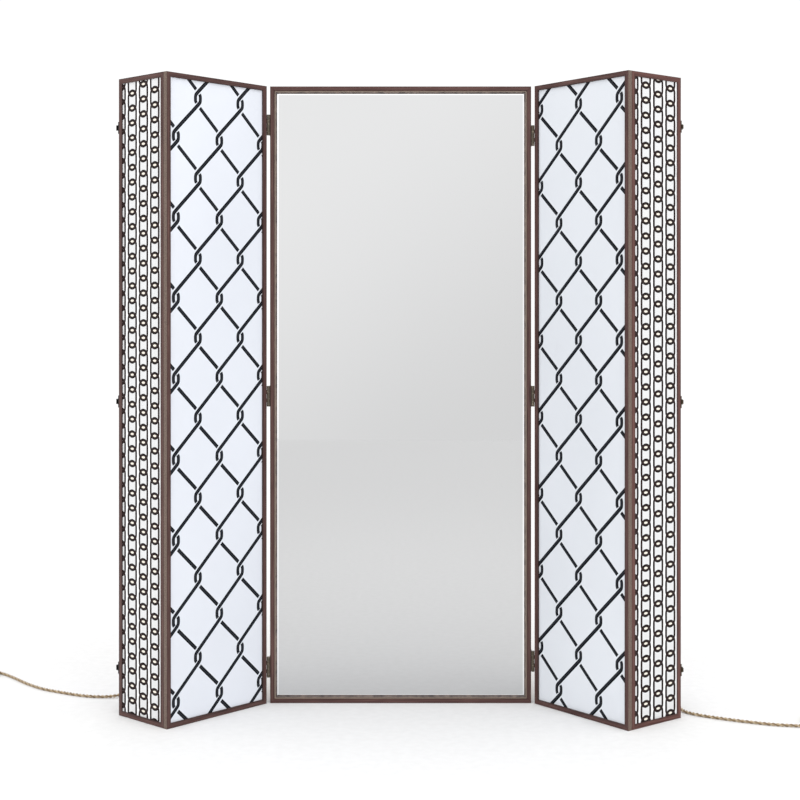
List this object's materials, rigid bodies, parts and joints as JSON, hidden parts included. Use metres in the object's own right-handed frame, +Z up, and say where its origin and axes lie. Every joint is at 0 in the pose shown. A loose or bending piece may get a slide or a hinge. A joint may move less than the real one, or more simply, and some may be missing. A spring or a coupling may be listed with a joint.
{
  "type": "folding_screen",
  "caption": "Free-standing folding dressing screen: a full-length framed mirror between two hinged light boxes with opal panels, printed fence and link patterns, sliding bolts and cloth cords",
  "frame": {"origin": "on the floor, under the middle of the mirror's bottom rail", "axes": "+Z up; the mirror faces -Y; +X to the right seen from the front"},
  "size_m": [2.6379, 0.6761, 1.8018],
  "materials": {
    "frame_wood": "dark brown stained and waxed, fine streaks along the grain",
    "bead_wood": "lighter brown stained inner bead",
    "mirror_glass": "silvered plate glass with a narrow bevel",
    "board": "plain brown hardboard",
    "opal_panel": "opal white sheet with printed dark wire and link patterns",
    "dark_steel": "dark brown painted steel, slightly worn",
    "white_steel": "white enamel",
    "white_plastic": "white moulded plastic",
    "lamp_tube": "frosted white glass tube with metal end caps",
    "black_plastic": "fine-textured black plastic",
    "cord_cloth": "tan woven cloth over a twisted pair"
  },
  "bodies": {
    "mirror_panel": {"mirror_rail_bottom": "frame_wood", "mirror_rail_top": "frame_wood", "mirror_stile_left": "frame_wood", "mirror_stile_right": "frame_wood", "mirror_bead": "bead_wood", "mirror_glass": "mirror_glass", "mirror_backing": "board", "backing_points": "dark_steel", "mirror_corner_brackets": "dark_steel", "mirror_corner_screws": "dark_steel", "hinge_pins": "dark_steel", "hinge_screws_mirror": "dark_steel", "left_hinge_leaves_mirror": "dark_steel", "right_hinge_leaves_mirror": "dark_steel"},
    "left_wing": {"left_front_frame": "frame_wood", "left_front_panel": "opal_panel", "left_end_frame": "frame_wood", "left_end_panel": "opal_panel", "left_side_board": "frame_wood", "left_top_board": "frame_wood", "left_bottom_board": "frame_wood", "left_rear_frame": "frame_wood", "left_rear_panel": "opal_panel", "left_rear_screws": "dark_steel", "left_lamp_batten": "white_steel", "left_lamp_holders": "white_plastic", "left_lamp_tube": "lamp_tube", "left_strain_relief": "black_plastic", "left_hinge_leaves_wing": "dark_steel", "left_hinge_screws_wing": "dark_steel", "left_cord": "cord_cloth", "left_cord_coil": "cord_cloth", "left_plug": "black_plastic", "left_bolt_keepers": "dark_steel", "left_keeper_screws": "dark_steel"},
    "right_wing": {"right_front_frame": "frame_wood", "right_front_panel": "opal_panel", "right_end_frame": "frame_wood", "right_end_panel": "opal_panel", "right_side_board": "frame_wood", "right_top_board": "frame_wood", "right_bottom_board": "frame_wood", "right_rear_frame": "frame_wood", "right_rear_panel": "opal_panel", "right_rear_screws": "dark_steel", "right_lamp_batten": "white_steel", "right_lamp_holders": "white_plastic", "right_lamp_tube": "lamp_tube", "right_strain_relief": "black_plastic", "right_hinge_leaves_wing": "dark_steel", "right_hinge_screws_wing": "dark_steel", "right_cord": "cord_cloth", "right_cord_coil": "cord_cloth", "right_plug": "black_plastic", "right_bolt_bases": "dark_steel", "right_bolt_screws": "dark_steel"},
    "bolt_bottom": {"bolt_bottom": "dark_steel"},
    "bolt_middle": {"bolt_middle": "dark_steel"},
    "bolt_top": {"bolt_top": "dark_steel"}
  },
  "joints": [
    {"name": "left_wing_fold", "type": "hinge", "parent": "mirror_panel", "child": "left_wing", "pos_m": [-0.3858, -0.017, 0.9], "axis": [0, 0, 1], "range_deg": [-58.5, 132.5]},
    {"name": "right_wing_fold", "type": "hinge", "parent": "mirror_panel", "child": "right_wing", "pos_m": [0.3858, -0.017, 0.9], "axis": [0, 0, -1], "range_deg": [-62.4, 128.6]},
    {"name": "bolt_bottom_slide", "type": "slide", "parent": "right_wing", "child": "bolt_bottom", "axis": [0.6239, -0.7815, 0], "range_m": [0, 0.03]},
    {"name": "bolt_middle_slide", "type": "slide", "parent": "right_wing", "child": "bolt_middle", "axis": [0.6239, -0.7815, 0], "range_m": [0, 0.03]},
    {"name": "bolt_top_slide", "type": "slide", "parent": "right_wing", "child": "bolt_top", "axis": [0.6239, -0.7815, 0], "range_m": [0, 0.03]}
  ]
}
